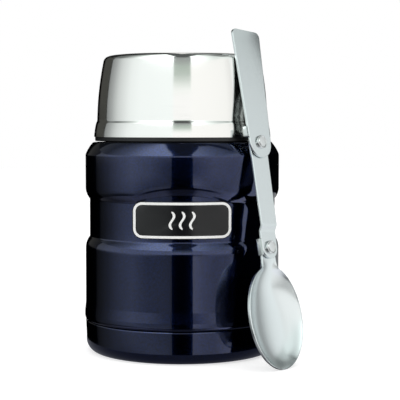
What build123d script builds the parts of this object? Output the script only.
from build123d import *
from math import asin, atan2, cos, degrees, radians, sin, sqrt, tan
import os

# Vacuum-insulated food jar with a screw-on steel cup, a screwed stopper and a folding spoon.
# Millimetres, +Z up, origin on the jar's axis at the level that it stands on.
# The front, with the badge, faces -Y, and +X is to the right of somebody who looks at it.

# ---- Body: widths ----
body_r = 47.0
shell_wall = 0.6
waist_depth = 2.03
bulge_fillet_r = 8.7
shoulder_inset = 3.8
shoulder_swell = 0.25
shoulder_bend_run = 2.0
foot_bead_proud = 0.5
neck_gap = 1.0

# ---- Body: heights, from the foot up ----
base_height = 15.6
foot_bead_rise = 1.4
foot_bead_height = 2.0
foot_bead_blend = 5.0
lower_bulge_height = 39.85
waist_margin = 1.05
upper_bulge_height = 21.5
shoulder_height = 6.1
neck_height = 14.1

# ---- Badge plate and the arch that is pressed into the upper bulge over it ----
badge_width = 45.4
badge_height = 17.0
badge_corner_r = 4.5
badge_thickness = 0.8
badge_margin = 1.95
arch_side_gap = 0.2
arch_top_gap = 2.8
arch_reach_angle = 36.0
arch_steps = 4
arch_cut_bite = 1.0
arch_cut_margin = 3.0
arch_cut_skin = 0.01
arch_overcut = 0.04

# ---- Base ----
base_cap_wall = 0.8
base_corner_inset = 0.5
base_corner_height = 6.0
base_foot_curve = 5.5
base_ring_width = 4.0
base_recess = 3.0
base_recess_slope = 1.65
base_bend_shift = 0.32
seam_gap = 0.35
skirt_gap = 0.2
shell_foot_reach = 0.5
bottom_plate_wall = 0.8
bottom_plate_gap = 3.2
port_r = 1.0
port_dimple_r = 5.0
port_dimple_depth = 1.0
bead_proud = 0.1
bead_low_inset = 2.0
bead_high_inset = 1.0
getter_r = 5.0
getter_height = 1.4
getter_offset = 24.0
getter_edge = 0.3

# ---- Inner vessel ----
vessel_wall = 0.6
vacuum_gap = 2.57
vessel_floor_gap = 2.4
vessel_corner_r = 7.4
vessel_shoulder_drop = 7.2
vessel_shoulder_height = 9.2
rim_lip = 0.7
foil_thickness = 0.15
foil_end_margin = 4.0

# ---- Threads: the same quick pitch on the cup and on the stopper ----
thread_lead = 16.0
thread_starts = 4
thread_root_half = 1.1
thread_tip_half = 0.5
thread_bite = 0.4
fixed_thread_angle = 75.0
moving_thread_angle = 40.0
moving_thread_start_angle = 10.0
collar_wall = 1.5
collar_edge = 0.6
collar_thread_depth = 1.3
collar_thread_rise = 3.1
cup_thread_depth = 1.4
cup_thread_room = 0.7
neck_thread_depth = 1.1
neck_thread_drop = 10.5
stopper_thread_depth = 1.3
stopper_thread_room = 0.5

# ---- Cup lid ----
cup_height = 38.96
cup_wall = 0.6
cup_hem_inset = 0.37
cup_hem_height = 6.8
cup_hem_flare = 1.03
cup_hem_edge = 0.2
cup_hem_bevel = 0.3
cup_step = 0.5
cup_step_height = 1.4
cup_step_turn = 0.1
cup_step_drop = 0.2
cup_wall_taper = 3.08
cup_wall_swell = 0.6347
cup_corner_r = 3.3
cup_corner_lift = 0.64
cup_lip_inset = 0.53
cup_lip_height = 2.0
cup_lip_edge = 0.3
cup_ring_wall = 0.9
cup_ring_rise = 0.4
cup_ring_drop = 0.6
cup_ring_bevel = 0.5
bowl_wall = 0.5
bowl_gap = 0.52
bowl_taper = 1.9
bowl_top_gap = 2.86
bowl_corner_r = 3.0
bowl_seat_gap = 0.2
bowl_lip_gap = 0.4
bowl_lip_height = 0.6

# ---- Stopper ----
gasket_height = 1.8
gasket_wall = 3.1
gasket_edge = 0.3
gasket_bevel = 0.5
stopper_flange_overhang = 1.9
stopper_flange_height = 2.2
stopper_flange_slope = 0.5
stopper_grip_step = 0.9
stopper_grip_wall = 2.9
stopper_edge = 0.8
stopper_headroom = 5.4
stopper_well_rise = 3.7
stopper_floor = 2.0
stopper_plug_wall = 2.2
stopper_plug_reach = 13.4
stopper_cap_height = 2.0
stopper_rib_count = 32
stopper_rib_height = 0.8
stopper_rib_width = 1.8
stopper_rib_top_gap = 2.0
snap_height = 2.0
snap_wall = 1.6

# ---- Folding spoon: lengths along it from the tip of its bowl ----
spoon_sheet = 1.2
spoon_gap = 0.3
spoon_bowl_half_width = 17.7
spoon_bowl_half_length = 23.5
spoon_bowl_depth = 8.0
spoon_bowl_wall = 1.1
spoon_neck_width = 9.4
spoon_neck_length = 8.0
spoon_neck_root = 6.0
spoon_neck_fillet = 3.0
link_length = 48.6
link_low_width = 10.0
link_high_width = 11.6
link_joggle_rise = 9.0
link_joggle_run = 2.2
handle_length = 54.0
handle_low_r = 7.2
handle_top_width = 18.8
handle_corner_r = 2.5
rivet_shaft_r = 1.6
rivet_running_gap = 0.05
rivet_head_r = 3.1
rivet_head_height = 1.3
rivet_back_r = 2.8
rivet_back_height = 0.7
tab_wall = 1.2
tab_clearance = 0.3
tab_proud = 0.6
tab_bend_r = 1.0
bowl_tab_root = 1.0
bowl_tab_below = 3.6
bowl_tab_above = 4.0
link_tab_root = 3.0
link_tab_low = 2.0
link_tab_high = 6.8

# ---- Where the spoon leans on the cup ----
spoon_yaw = 46.0
spoon_lean = 14.8
spoon_tilt = 5.25
spoon_side_shift = 4.0

# ---- Clearances ----
seat_gap = 0.1
running_gap = 0.3

# ---- Radii that follow from those above, from the outside in ----
waist_r = body_r - waist_depth
shoulder_r = body_r - shoulder_inset
foot_bead_r = body_r + foot_bead_proud
base_corner_r = body_r - base_corner_inset
base_ring_outer_r = base_corner_r - base_foot_curve
base_ring_inner_r = base_ring_outer_r - base_ring_width
shell_skirt_r = base_corner_r - base_cap_wall - skirt_gap
bottom_plate_r = shell_skirt_r - shell_wall - seat_gap
vessel_outer_r = waist_r - shell_wall - vacuum_gap
vessel_r = vessel_outer_r - vessel_wall
cup_hem_r = shoulder_r - cup_hem_inset
cup_lip_r = cup_hem_r - cup_lip_inset
cup_band_r = cup_hem_r - cup_hem_flare
cup_wall_low_r = cup_band_r - cup_step
cup_wall_high_r = cup_wall_low_r - cup_wall_taper
bowl_high_r = cup_wall_high_r - cup_wall - bowl_gap - bowl_wall
bowl_low_r = bowl_high_r + bowl_taper
bowl_lip_r = cup_wall_low_r - cup_wall - bowl_lip_gap
cup_ring_outer_r = cup_band_r - cup_wall - seat_gap
cup_ring_inner_r = cup_ring_outer_r - cup_ring_wall
collar_r = cup_ring_inner_r - cup_thread_room - collar_thread_depth
collar_inner_r = collar_r - collar_wall
shell_neck_r = collar_inner_r - seat_gap
mouth_outer_r = shell_neck_r - shell_wall - neck_gap
mouth_r = mouth_outer_r - vessel_wall
plug_r = mouth_r - stopper_thread_room - stopper_thread_depth
stopper_flange_r = mouth_r + stopper_flange_overhang
stopper_grip_r = stopper_flange_r - stopper_grip_step
stopper_well_r = stopper_grip_r - stopper_grip_wall

# ---- Heights that follow, from the foot up ----
base_rim_z = base_height - seam_gap
bottom_plate_z = base_recess + base_cap_wall + bottom_plate_gap
shell_low_z = bottom_plate_z - shell_foot_reach
vessel_floor_z = bottom_plate_z + bottom_plate_wall + vessel_floor_gap + vessel_wall
foot_bead_low_z = base_height + foot_bead_rise
foot_bead_high_z = foot_bead_low_z + foot_bead_height
foot_bead_blend_z = foot_bead_high_z + foot_bead_blend
waist_low_z = base_height + lower_bulge_height
waist_high_z = waist_low_z + badge_height + waist_margin
badge_z = waist_low_z + badge_margin + badge_height / 2
shoulder_low_z = waist_high_z + upper_bulge_height
shoulder_high_z = shoulder_low_z + shoulder_height
vessel_shoulder_low_z = shoulder_low_z - vessel_shoulder_drop
vessel_shoulder_high_z = vessel_shoulder_low_z + vessel_shoulder_height
rim_z = shoulder_high_z + neck_height
shell_top_z = rim_z - rim_lip - seat_gap
collar_thread_z = shoulder_high_z + collar_thread_rise
neck_thread_z = rim_z - neck_thread_drop
gasket_z = rim_z + running_gap
flange_z = gasket_z + gasket_height
cup_ring_z = shoulder_high_z + running_gap
cup_hem_z = cup_ring_z + cup_lip_height
cup_band_z = cup_hem_z + cup_hem_height
cup_wall_low_z = cup_band_z + cup_step_height
cup_ring_top_z = cup_band_z + cup_ring_rise
cup_top_z = cup_hem_z + cup_height
cup_wall_high_z = cup_top_z - cup_corner_r + cup_corner_lift
bowl_ceiling_z = cup_top_z - cup_wall - bowl_top_gap - bowl_wall
stopper_top_z = bowl_ceiling_z - stopper_headroom
stopper_well_z = flange_z + stopper_well_rise
stopper_plug_z = rim_z - stopper_plug_reach

# ---- Other sizes that follow ----
arch_half_width = badge_width / 2 + arch_side_gap
arch_rise = badge_z + badge_height / 2 + arch_top_gap - waist_high_z
thread_pitch = thread_lead / thread_starts
lower_rivet_y = 2 * spoon_bowl_half_length + spoon_neck_length
upper_rivet_y = lower_rivet_y + link_length
handle_top_y = upper_rivet_y + handle_length
link_joggle_y = lower_rivet_y + link_joggle_rise
handle_back = spoon_sheet + spoon_gap
neck_back = -2 * spoon_sheet - 2 * spoon_gap
neck_front = neck_back + spoon_sheet
link_low_back = -spoon_sheet - spoon_gap


def turned(*edges):
    """Solid of revolution about Z from a closed run of edges in the XZ plane."""
    return revolve(make_face(Wire(list(edges))), axis=Axis.Z)


def turned_polygon(*points):
    """Solid of revolution about Z from corner points (radius, height)."""
    return revolve(make_face(Polyline(*[(r, 0, z) for r, z in points], close=True)), axis=Axis.Z)


def run(*points):
    """Straight edges through points (radius, height)."""
    ends = [Vector(r, 0, z) for r, z in points]
    return [Line(a, b) for a, b in zip(ends, ends[1:])]


def arc(start, middle, end):
    """Circular edge through three points (radius, height)."""
    return ThreePointArc(*[(r, 0, z) for r, z in (start, middle, end)])


def corner(centre_r, centre_z, radius, start_angle, end_angle):
    """Circular edge about a centre in the XZ plane, by its angles above the radius line."""
    angles = (start_angle, (start_angle + end_angle) / 2, end_angle)
    points = [
        (centre_r + radius * cos(radians(a)), centre_z + radius * sin(radians(a))) for a in angles
    ]
    return arc(*points)


def ring(inner_r, outer_r, low_z, high_z):
    """Plain tube about Z."""
    return turned_polygon((inner_r, low_z), (outer_r, low_z), (outer_r, high_z), (inner_r, high_z))


def thread_ridges(wall_r, depth, low_z, turn, offset):
    """One helical ridge for each start, standing out of a wall (depth > 0) or into a bore."""
    side = 1 if depth > 0 else -1
    root_r = wall_r - side * thread_bite
    section = make_face(
        Polyline(
            (root_r, 0, -thread_root_half),
            (root_r, 0, thread_root_half),
            (wall_r, 0, thread_root_half),
            (wall_r + depth, 0, thread_tip_half),
            (wall_r + depth, 0, -thread_tip_half),
            (wall_r, 0, -thread_root_half),
            close=True,
        )
    )
    helix = Edge.make_helix(thread_lead, thread_lead * turn / 360, wall_r)
    ridge = sweep(section, path=helix, is_frenet=True)
    rise = low_z + thread_lead * offset / 360
    return [
        ridge.moved(Location((0, 0, rise), (0, 0, offset + 360 / thread_starts * k)))
        for k in range(thread_starts)
    ]


# ---- Outer shell and what closes it ----
def fillet_reach(wall):
    """Height from the middle of a bulge fillet to its crease at the waist."""
    flat = waist_r - (body_r - bulge_fillet_r)
    return sqrt((bulge_fillet_r - wall) ** 2 - (flat - wall) ** 2)


def bulge_centres():
    """Heights of the middles of the lower and the upper bulge fillet."""
    return waist_low_z - fillet_reach(0), waist_high_z + fillet_reach(0)


def shell_form(wall):
    """Solid inside the shell's outer face (wall 0) or inside its inner face (wall = sheet)."""
    overrun = wall
    centre_r = body_r - bulge_fillet_r
    low_centre, high_centre = bulge_centres()
    reach = fillet_reach(wall)
    crease_angle = degrees(asin(reach / (bulge_fillet_r - wall)))
    side_r = body_r - wall
    bead_r = foot_bead_r - wall
    skirt_r = shell_skirt_r - wall
    neck_r = shell_neck_r - wall
    land_z = shoulder_high_z - wall
    slope = degrees(asin(shoulder_inset / (shoulder_height + shoulder_bend_run)))
    crease_z = shoulder_low_z - wall * tan(radians(slope / 2))
    shoulder_end_r = shoulder_r - wall * tan(radians(45 - slope / 2))
    middle_r = (side_r + shoulder_end_r) / 2 + shoulder_swell
    middle_z = (crease_z + land_z) / 2 + shoulder_swell
    return turned(
        *run((0, shell_low_z - overrun), (skirt_r, shell_low_z - overrun), (skirt_r, base_height + wall)),
        *run(
            (skirt_r, base_height + wall),
            (side_r, base_height + wall),
            (bead_r, foot_bead_low_z),
            (bead_r, foot_bead_high_z),
            (side_r, foot_bead_blend_z),
            (side_r, low_centre),
        ),
        corner(centre_r, low_centre, bulge_fillet_r - wall, 0, crease_angle),
        *run((waist_r - wall, low_centre + reach), (waist_r - wall, high_centre - reach)),
        corner(centre_r, high_centre, bulge_fillet_r - wall, -crease_angle, 0),
        *run((side_r, high_centre), (side_r, crease_z)),
        arc((side_r, crease_z), (middle_r, middle_z), (shoulder_end_r, land_z)),
        *run(
            (shoulder_end_r, land_z),
            (neck_r, land_z),
            (neck_r, shell_top_z + overrun),
            (0, shell_top_z + overrun),
            (0, shell_low_z - overrun),
        ),
    )


def arch_lift(angle):
    """How far the upper crease is lifted at an angle from the front: a circular arc."""
    radius = (arch_half_width**2 + arch_rise**2) / (2 * arch_rise)
    along = body_r * radians(angle)
    return sqrt(radius**2 - along**2) - (radius - arch_rise)


def arch_cutter(wall):
    """What is cut from the upper bulge so that its crease arches over the badge."""
    sections = []
    side_r = body_r - wall
    fillet_r = bulge_fillet_r - wall
    centre_r = body_r - bulge_fillet_r + arch_overcut
    inner_r = waist_r - wall - arch_cut_bite
    outer_r = body_r + arch_cut_margin
    floor_z = (waist_low_z + waist_high_z) / 2
    drop = sqrt(fillet_r**2 - (inner_r - centre_r) ** 2)
    low_angle = -degrees(asin(drop / fillet_r))
    top_reach = side_r + arch_cut_skin - centre_r
    top_angle = -degrees(asin(sqrt(fillet_r**2 - top_reach**2) / fillet_r))
    top_rise = fillet_r * sin(radians(top_angle))
    top_r = centre_r + fillet_r * cos(radians(top_angle))
    for step in range(-arch_steps, arch_steps + 1):
        angle = step * arch_reach_angle / arch_steps
        middle_z = bulge_centres()[1] + arch_lift(angle)
        profile = Wire(
            [
                *run(
                    (inner_r, middle_z - drop),
                    (inner_r, floor_z),
                    (outer_r, floor_z),
                    (outer_r, middle_z + top_rise),
                    (top_r, middle_z + top_rise),
                ),
                corner(centre_r, middle_z, fillet_r, top_angle, low_angle),
            ]
        )
        sections.append(Rot(0, 0, angle - 90) * make_face(profile))
    return loft(sections) - ring(0, waist_r - wall, waist_low_z, shoulder_low_z)


def make_outer_shell():
    outside = shell_form(0) - arch_cutter(0)
    inside = shell_form(shell_wall) - arch_cutter(shell_wall)
    return outside - inside


def base_side(wall):
    """Outer corner and side of the base cap, from its foot up to its rim."""
    shift = base_bend_shift * wall / base_cap_wall
    foot = (base_ring_outer_r - shift, wall)
    turn = (base_corner_r - wall, base_corner_height + shift)
    rim = (body_r - wall, base_rim_z)
    flank = Vector(rim[0] - turn[0], 0, rim[1] - turn[1])
    curve = Spline((foot[0], 0, foot[1]), (turn[0], 0, turn[1]), tangents=[(1, 0, 0), flank.normalized()])
    return curve, foot, turn, rim


def make_base_cap():
    wall = base_cap_wall
    curve_out, foot_out, turn_out, rim_out = base_side(0)
    curve_in, foot_in, turn_in, rim_in = base_side(wall)
    recess_r = base_ring_inner_r - base_recess_slope
    return turned(
        *run(
            (0, base_recess),
            (recess_r, base_recess),
            (base_ring_inner_r, 0),
            foot_out,
        ),
        curve_out,
        *run(turn_out, rim_out, rim_in, turn_in),
        curve_in,
        *run(
            foot_in,
            (base_ring_inner_r + base_bend_shift, wall),
            (recess_r + base_bend_shift, base_recess + wall),
            (0, base_recess + wall),
            (0, base_recess),
        ),
    )


def make_bottom_plate():
    """Disc welded into the shell's foot, with a raised dimple round the evacuation port."""
    top = bottom_plate_z + bottom_plate_wall
    slope = port_dimple_r + port_dimple_depth
    return turned_polygon(
        (port_r, bottom_plate_z + port_dimple_depth),
        (port_dimple_r, bottom_plate_z + port_dimple_depth),
        (slope, bottom_plate_z),
        (bottom_plate_r, bottom_plate_z),
        (bottom_plate_r, top),
        (slope, top),
        (port_dimple_r, top + port_dimple_depth),
        (port_r, top + port_dimple_depth),
    )


def make_seal_bead():
    """Solder bead that fills the port's dimple and plugs the port."""
    ceiling = bottom_plate_z + port_dimple_depth - seat_gap
    stem_r = port_r - seat_gap
    stem_top = bottom_plate_z + bottom_plate_wall + port_dimple_depth
    return turned_polygon(
        (0, bottom_plate_z - bead_proud),
        (port_dimple_r - bead_low_inset, bottom_plate_z - bead_proud),
        (port_dimple_r - bead_high_inset, ceiling),
        (stem_r, ceiling),
        (stem_r, stem_top),
        (0, stem_top),
    )


def make_getter():
    """Pressed tablet that soaks up stray gas in the vacuum."""
    low = bottom_plate_z + bottom_plate_wall + seat_gap
    pill = Cylinder(getter_r, getter_height, align=(Align.CENTER, Align.CENTER, Align.MIN))
    return Pos(getter_offset, 0, low) * chamfer(pill.edges().filter_by(GeomType.CIRCLE), getter_edge)


# ---- Inner vessel ----
def make_inner_vessel():
    wall = vessel_wall
    corner_outer = vessel_corner_r + wall
    corner_centre_r = vessel_r - vessel_corner_r
    corner_centre_z = vessel_floor_z + vessel_corner_r
    lip_r = shell_neck_r + running_gap
    vessel = turned(
        *run((0, vessel_floor_z - wall), (corner_centre_r, vessel_floor_z - wall)),
        corner(corner_centre_r, corner_centre_z, corner_outer, -90, 0),
        *run(
            (vessel_outer_r, corner_centre_z),
            (vessel_outer_r, vessel_shoulder_low_z + wall / 2),
            (mouth_outer_r, vessel_shoulder_high_z + wall / 2),
            (mouth_outer_r, rim_z - rim_lip),
            (lip_r, rim_z - rim_lip),
            (lip_r, rim_z),
            (mouth_r, rim_z),
            (mouth_r, vessel_shoulder_high_z),
            (vessel_r, vessel_shoulder_low_z),
            (vessel_r, corner_centre_z),
        ),
        corner(corner_centre_r, corner_centre_z, vessel_corner_r, 0, -90),
        *run((corner_centre_r, vessel_floor_z), (0, vessel_floor_z), (0, vessel_floor_z - wall)),
    )
    for ridge in thread_ridges(mouth_r, -neck_thread_depth, neck_thread_z, fixed_thread_angle, 0):
        vessel += ridge
    return vessel


def make_foil():
    inner_r = vessel_outer_r + seat_gap
    low = vessel_floor_z + vessel_corner_r + foil_end_margin
    return ring(inner_r, inner_r + foil_thickness, low, vessel_shoulder_low_z - foil_end_margin)


def make_thread_collar():
    """Moulded collar snapped over the neck, with the ridges that the cup screws on."""
    low = shoulder_high_z + seat_gap
    high = shell_top_z - seat_gap
    collar = turned_polygon(
        (collar_inner_r, low),
        (collar_r, low),
        (collar_r, high - collar_edge),
        (collar_r - collar_edge, high),
        (collar_inner_r, high),
    )
    for ridge in thread_ridges(collar_r, collar_thread_depth, collar_thread_z, fixed_thread_angle, 0):
        collar += ridge
    return collar


def make_badge_plate():
    """Plain curved plate, wrapped round the waist under the arch."""
    inner_r = waist_r + seat_gap
    face = Plane.XZ * Pos(0, badge_z) * RectangleRounded(badge_width, badge_height, badge_corner_r)
    front = extrude(face, body_r)
    skin = ring(inner_r, inner_r + badge_thickness, badge_z - badge_height, badge_z + badge_height)
    return front & skin


# ---- Stopper ----
def make_stopper_body():
    flange_top = flange_z + stopper_flange_height
    inner_plug_r = plug_r - stopper_plug_wall
    body = turned_polygon(
        (0, stopper_well_z - stopper_floor),
        (inner_plug_r, stopper_well_z - stopper_floor),
        (inner_plug_r, stopper_plug_z),
        (plug_r, stopper_plug_z),
        (plug_r, flange_z),
        (stopper_flange_r, flange_z),
        (stopper_flange_r, flange_top),
        (stopper_grip_r, flange_top + stopper_flange_slope),
        (stopper_grip_r, stopper_top_z - stopper_edge),
        (stopper_grip_r - stopper_edge, stopper_top_z),
        (stopper_well_r + stopper_edge, stopper_top_z),
        (stopper_well_r, stopper_top_z - stopper_edge),
        (stopper_well_r, stopper_well_z),
        (0, stopper_well_z),
    )
    rib = Pos(stopper_grip_r, 0, flange_top) * Box(
        2 * stopper_rib_height,
        stopper_rib_width,
        stopper_top_z - stopper_rib_top_gap - flange_top,
        align=(Align.CENTER, Align.CENTER, Align.MIN),
    )
    for k in range(stopper_rib_count):
        body += Rot(0, 0, 360 / stopper_rib_count * k) * rib
    low = neck_thread_z - thread_pitch / 2
    for ridge in thread_ridges(
        plug_r, stopper_thread_depth, low, moving_thread_angle, moving_thread_start_angle
    ):
        body += ridge
    return body


def make_stopper_cap():
    """Disc that closes the plug from below, with a ring that snaps inside its skirt."""
    high = stopper_plug_z - seat_gap
    low = high - stopper_cap_height
    snap_r = plug_r - stopper_plug_wall - seat_gap
    return turned_polygon(
        (0, low),
        (plug_r - stopper_edge, low),
        (plug_r, low + stopper_edge),
        (plug_r, high),
        (snap_r, high),
        (snap_r, high + snap_height),
        (snap_r - snap_wall, high + snap_height),
        (snap_r - snap_wall, high),
        (0, high),
    )


def make_stopper_foam():
    low = stopper_plug_z + seat_gap
    high = stopper_well_z - stopper_floor - seat_gap
    outer_r = plug_r - stopper_plug_wall - seat_gap
    core_r = outer_r - snap_wall - seat_gap
    step_z = stopper_plug_z + snap_height + seat_gap
    return turned_polygon(
        (0, low), (core_r, low), (core_r, step_z), (outer_r, step_z), (outer_r, high), (0, high)
    )


def make_stopper_gasket():
    """Silicone ring under the stopper's flange, which seals on the vessel's rim."""
    inner_r = plug_r + running_gap
    outer_r = inner_r + gasket_wall
    high = flange_z - seat_gap
    middle = (gasket_z + high) / 2
    return turned_polygon(
        (inner_r, gasket_z + gasket_edge),
        (inner_r + gasket_edge, gasket_z),
        (outer_r - gasket_bevel, gasket_z),
        (outer_r, middle),
        (outer_r - gasket_bevel, high),
        (inner_r, high),
    )


# ---- Cup lid ----
def cup_corner_centre():
    """Centre of the rounding between the cup's wall and its top."""
    return cup_wall_high_r - sqrt(cup_corner_r**2 - cup_corner_lift**2), cup_top_z - cup_corner_r


def cup_wall_middle():
    """Middle of the cup's gently swelling wall."""
    rise = cup_wall_high_z - cup_wall_low_z
    chord = sqrt(cup_wall_taper**2 + rise**2)
    return (
        (cup_wall_low_r + cup_wall_high_r) / 2 + cup_wall_swell * rise / chord,
        (cup_wall_low_z + cup_wall_high_z) / 2 + cup_wall_swell * cup_wall_taper / chord,
    )


def make_cup_shell():
    wall = cup_wall
    centre_r, centre_z = cup_corner_centre()
    middle_r, middle_z = cup_wall_middle()
    lift = degrees(asin(cup_corner_lift / cup_corner_r))
    inner_r = cup_corner_r - wall
    inner_start = (centre_r + inner_r * cos(radians(lift)), centre_z + inner_r * sin(radians(lift)))
    return turned(
        *run(
            (cup_hem_r - wall, cup_hem_z),
            (cup_hem_r - cup_hem_edge, cup_hem_z),
            (cup_hem_r, cup_hem_z + cup_hem_bevel),
            (cup_band_r, cup_band_z),
            (cup_wall_low_r + cup_step_turn, cup_band_z + cup_step_height / 2),
            (cup_wall_low_r, cup_wall_low_z),
        ),
        arc((cup_wall_low_r, cup_wall_low_z), (middle_r, middle_z), (cup_wall_high_r, cup_wall_high_z)),
        corner(centre_r, centre_z, cup_corner_r, lift, 90),
        *run(
            (centre_r, cup_top_z),
            (0, cup_top_z),
            (0, cup_top_z - wall),
            (centre_r, cup_top_z - wall),
        ),
        corner(centre_r, centre_z, inner_r, 90, lift),
        arc(inner_start, (middle_r - wall, middle_z), (cup_wall_low_r - wall, cup_wall_low_z)),
        *run(
            (cup_wall_low_r - wall, cup_wall_low_z),
            (cup_band_r - wall, cup_band_z - cup_step_drop),
            (cup_hem_r - wall, cup_hem_z),
        ),
    )


def make_cup_inner_bowl():
    """Bowl that the food is served in, seen when the cup is turned over."""
    low = cup_ring_top_z + bowl_seat_gap
    lip_top = low + bowl_lip_height
    centre_r = bowl_high_r - bowl_corner_r
    centre_z = bowl_ceiling_z - bowl_corner_r
    outer_corner = bowl_corner_r + bowl_wall
    return turned(
        *run(
            (bowl_low_r, low),
            (bowl_lip_r, low),
            (bowl_lip_r, lip_top),
            (bowl_low_r + bowl_wall, lip_top),
            (bowl_high_r + bowl_wall, centre_z),
        ),
        corner(centre_r, centre_z, outer_corner, 0, 90),
        *run(
            (centre_r, bowl_ceiling_z + bowl_wall),
            (0, bowl_ceiling_z + bowl_wall),
            (0, bowl_ceiling_z),
            (centre_r, bowl_ceiling_z),
        ),
        corner(centre_r, centre_z, bowl_corner_r, 90, 0),
        *run((bowl_high_r, centre_z), (bowl_low_r, low)),
    )


def make_cup_thread_ring():
    """Moulded ring pressed into the cup's hem: its lip shows as a dark line under the steel."""
    lip_top = cup_hem_z - seat_gap
    part = turned_polygon(
        (cup_ring_inner_r, cup_ring_z),
        (cup_lip_r - cup_lip_edge, cup_ring_z),
        (cup_lip_r, cup_ring_z + cup_lip_edge),
        (cup_lip_r, lip_top),
        (cup_ring_outer_r, lip_top),
        (cup_ring_outer_r, cup_ring_top_z - cup_ring_drop),
        (cup_ring_outer_r - cup_ring_bevel, cup_ring_top_z),
        (cup_ring_inner_r, cup_ring_top_z),
    )
    low = collar_thread_z - thread_pitch / 2
    for ridge in thread_ridges(
        cup_ring_inner_r, -cup_thread_depth, low, moving_thread_angle, moving_thread_start_angle
    ):
        part += ridge
    return part


# ---- Folding spoon, made flat in the XY plane with its front towards +Z ----
def bored(part, y):
    """The same part with a running hole for a rivet."""
    return part - Pos(0, y, 0) * Cylinder(rivet_shaft_r + rivet_running_gap, 2 * spoon_bowl_half_length)


def stop_tab(inner_x, low_y, high_y, back, front, reach_x):
    """Ear of the sheet's left edge, bent forward beside the piece that it stops."""
    outer_x = inner_x - tab_wall
    ear = Pos(outer_x, low_y, back) * Box(
        reach_x - outer_x, high_y - low_y, spoon_sheet, align=(Align.MIN, Align.MIN, Align.MIN)
    )
    wall = Pos(outer_x, low_y, back) * Box(
        tab_wall, high_y - low_y, front - back, align=(Align.MIN, Align.MIN, Align.MIN)
    )
    tab = ear + wall
    bend = tab.edges().filter_by(Axis.Y).group_by(Axis.Z)[0].sort_by(Axis.X)[0]
    tips = tab.edges().filter_by(Axis.X).group_by(Axis.Z)[-1]
    return fillet([bend], tab_bend_r).fillet(tab_bend_r, tips)


def make_spoon_bowl():
    half_length = spoon_bowl_half_length
    neck_end = lower_rivet_y + spoon_neck_width / 2
    outline = Pos(0, half_length) * Ellipse(spoon_bowl_half_width, half_length)
    strip_low = 2 * half_length - spoon_neck_root
    strip = Pos(0, strip_low) * Rectangle(
        spoon_neck_width, lower_rivet_y - strip_low, align=(Align.CENTER, Align.MIN)
    )
    outline += strip
    roots = outline.vertices().filter_by(lambda v: strip_low < v.Y < 2 * half_length and v.X != 0)
    outline = fillet(roots, spoon_neck_fillet)
    outline += Pos(0, lower_rivet_y) * Circle(neck_end - lower_rivet_y)
    plate = Pos(0, 0, neck_back) * extrude(outline, spoon_sheet)
    hollow = Pos(0, half_length, neck_front) * scale(
        Sphere(1),
        by=(
            spoon_bowl_half_width - spoon_bowl_wall,
            half_length - spoon_bowl_wall,
            spoon_bowl_depth - spoon_bowl_wall,
        ),
    )
    shell = Pos(0, half_length, neck_front) * scale(
        Sphere(1), by=(spoon_bowl_half_width, half_length, spoon_bowl_depth)
    )
    below = Pos(0, half_length, neck_front) * Box(
        2 * spoon_bowl_half_width,
        2 * half_length,
        spoon_bowl_depth,
        align=(Align.CENTER, Align.CENTER, Align.MAX),
    )
    tab = stop_tab(
        -link_low_width / 2 - tab_clearance,
        lower_rivet_y - bowl_tab_below,
        lower_rivet_y + bowl_tab_above,
        neck_back,
        link_low_back + spoon_sheet + tab_proud,
        -spoon_neck_width / 2 + bowl_tab_root,
    )
    return bored(plate + (shell & below) + tab - hollow, lower_rivet_y)


def make_spoon_link():
    """Flat link, set back at its lower end by a joggle so that the folded handle clears the rivet."""
    low_r = link_low_width / 2
    high_r = link_high_width / 2
    sides = make_face(
        Polyline(
            (-low_r, lower_rivet_y),
            (low_r, lower_rivet_y),
            (high_r, upper_rivet_y),
            (-high_r, upper_rivet_y),
            close=True,
        )
    )
    outline = sides + Pos(0, lower_rivet_y) * Circle(low_r) + Pos(0, upper_rivet_y) * Circle(high_r)
    high_y = upper_rivet_y + link_high_width
    low_y = lower_rivet_y - link_low_width
    back_bend = link_joggle_y + link_joggle_run
    lead = spoon_sheet * tan(atan2(-link_low_back, link_joggle_run) / 2)
    side = make_face(
        Polyline(
            (0, low_y, link_low_back),
            (0, link_joggle_y, link_low_back),
            (0, back_bend, 0),
            (0, high_y, 0),
            (0, high_y, spoon_sheet),
            (0, back_bend - lead, spoon_sheet),
            (0, link_joggle_y - lead, link_low_back + spoon_sheet),
            (0, low_y, link_low_back + spoon_sheet),
            close=True,
        )
    )
    strip = extrude(side, link_high_width, both=True)
    plan = Pos(0, 0, link_low_back) * extrude(outline, spoon_sheet - link_low_back)
    tab = stop_tab(
        -handle_half_width(link_tab_high) - tab_clearance,
        upper_rivet_y + link_tab_low,
        upper_rivet_y + link_tab_high,
        0,
        handle_back + spoon_sheet + tab_proud,
        -high_r + link_tab_root,
    )
    return bored(bored((strip & plan) + tab, lower_rivet_y), upper_rivet_y)


def handle_half_width(above_rivet):
    """Half the handle's width at a height above the upper rivet."""
    return handle_low_r + (handle_top_width / 2 - handle_low_r) * above_rivet / handle_length


def make_spoon_handle():
    top_r = handle_top_width / 2
    sides = make_face(
        Polyline(
            (-handle_low_r, upper_rivet_y),
            (handle_low_r, upper_rivet_y),
            (top_r, handle_top_y),
            (-top_r, handle_top_y),
            close=True,
        )
    )
    sides = fillet(sides.vertices().group_by(Axis.Y)[-1], handle_corner_r)
    outline = sides + Pos(0, upper_rivet_y) * Circle(handle_low_r)
    return bored(Pos(0, 0, handle_back) * extrude(outline, spoon_sheet), upper_rivet_y)


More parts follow.
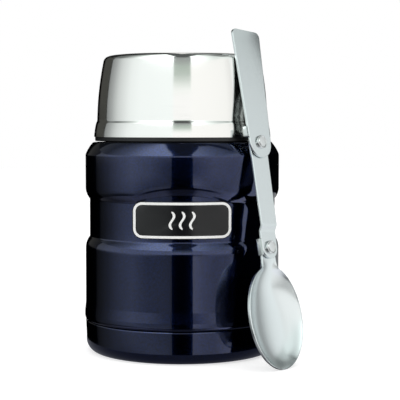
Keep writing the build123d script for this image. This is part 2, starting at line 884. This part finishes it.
def make_rivet(y, front, back):
    """Domed rivet: its front head sits on the sheet, and its back head runs just clear."""
    dome_r = (rivet_head_r**2 + rivet_head_height**2) / (2 * rivet_head_height)
    dome = Pos(0, y, front + rivet_head_height - dome_r) * Sphere(dome_r)
    head = dome & Pos(0, y, front) * Cylinder(
        rivet_head_r, rivet_head_height, align=(Align.CENTER, Align.CENTER, Align.MIN)
    )
    tail_top = back - seat_gap
    shaft = Pos(0, y, tail_top) * Cylinder(
        rivet_shaft_r, front - tail_top, align=(Align.CENTER, Align.CENTER, Align.MIN)
    )
    tail = Pos(0, y, tail_top) * Cylinder(
        rivet_back_r, rivet_back_height, align=(Align.CENTER, Align.CENTER, Align.MAX)
    )
    return head + shaft + tail


def spoon_place():
    """Location of the flat spoon: it stands on its tip and leans on the rounding of the cup."""
    yaw, lean, tilt = radians(spoon_yaw), radians(spoon_lean), radians(spoon_tilt)
    outward = Vector(sin(yaw), -cos(yaw), 0)
    along = Vector(cos(yaw), sin(yaw), 0)
    up = Vector(0, 0, 1)
    leaned = up * cos(lean) - outward * sin(lean)
    front = outward * cos(lean) + up * sin(lean)
    spoon_up = leaned * cos(tilt) + along * sin(tilt)
    right = along * cos(tilt) - leaned * sin(tilt)
    centre_r, centre_z = cup_corner_centre()
    touch = outward * centre_r + up * centre_z + front * (cup_corner_r + running_gap)
    base = touch + right * spoon_side_shift - front * handle_back
    half_length = spoon_bowl_half_length
    reach = sqrt((spoon_bowl_half_width * right.Z) ** 2 + (half_length * spoon_up.Z) ** 2)
    lowest = half_length * spoon_up.Z - reach + neck_back * front.Z
    base -= spoon_up * ((base.Z + lowest) / spoon_up.Z)
    return Plane(origin=base, x_dir=right, z_dir=front).location


# ---- The pieces in their places ----
place = spoon_place()
parts = {
    "outer_shell": make_outer_shell(),
    "base_cap": make_base_cap(),
    "outer_bottom_plate": make_bottom_plate(),
    "vacuum_seal_bead": make_seal_bead(),
    "getter_pill": make_getter(),
    "inner_vessel": make_inner_vessel(),
    "radiation_foil": make_foil(),
    "thread_collar": make_thread_collar(),
    "badge_plate": make_badge_plate(),
    "stopper_body": make_stopper_body(),
    "stopper_foam": make_stopper_foam(),
    "stopper_bottom_cap": make_stopper_cap(),
    "stopper_gasket": make_stopper_gasket(),
    "cup_shell": make_cup_shell(),
    "cup_inner_bowl": make_cup_inner_bowl(),
    "cup_thread_ring": make_cup_thread_ring(),
    "spoon_bowl": place * make_spoon_bowl(),
    "spoon_link": place * make_spoon_link(),
    "spoon_handle": place * make_spoon_handle(),
    "lower_rivet": place * make_rivet(lower_rivet_y, link_low_back + spoon_sheet, neck_back),
    "upper_rivet": place * make_rivet(upper_rivet_y, handle_back + spoon_sheet, 0),
}

os.makedirs("parts", exist_ok=True)
for name, part in parts.items():
    export_step(part, f"parts/{name}.step")
